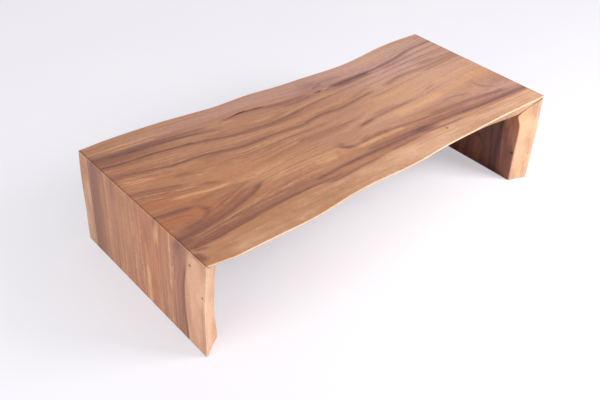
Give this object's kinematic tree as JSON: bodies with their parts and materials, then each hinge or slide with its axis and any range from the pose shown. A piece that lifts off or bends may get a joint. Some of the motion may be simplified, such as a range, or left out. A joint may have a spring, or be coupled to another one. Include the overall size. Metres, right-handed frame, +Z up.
{
  "type": "coffee table",
  "caption": "Low live-edge coffee table: a thick hardwood slab with wavy undercut edges, mitred at both ends to slab legs that carry the grain down to the floor.",
  "frame": {"origin": "on the floor, at the middle of the table's bounding box", "axes": "+X along the table's length and the top's grain, from the wide left end to the narrower right end; +Y towards the back; +Z up"},
  "size_m": [1.5, 0.719, 0.355],
  "materials": {
    "slab_wood": "solid raintree wood, figured brown heartwood with pale sapwood along the live edges, sanded, clear satin lacquer",
    "tenon_beech": "planed steamed beech, unfinished, glued into its mortises"
  },
  "bodies": {
    "root": {"top_slab": "slab_wood", "left_leg_slab": "slab_wood", "right_leg_slab": "slab_wood", "left_tenon_1": "tenon_beech", "left_tenon_2": "tenon_beech", "left_tenon_3": "tenon_beech", "left_tenon_4": "tenon_beech", "left_tenon_5": "tenon_beech", "left_tenon_6": "tenon_beech", "right_tenon_1": "tenon_beech", "right_tenon_2": "tenon_beech", "right_tenon_3": "tenon_beech", "right_tenon_4": "tenon_beech", "right_tenon_5": "tenon_beech", "right_tenon_6": "tenon_beech"}
  },
  "joints": []
}
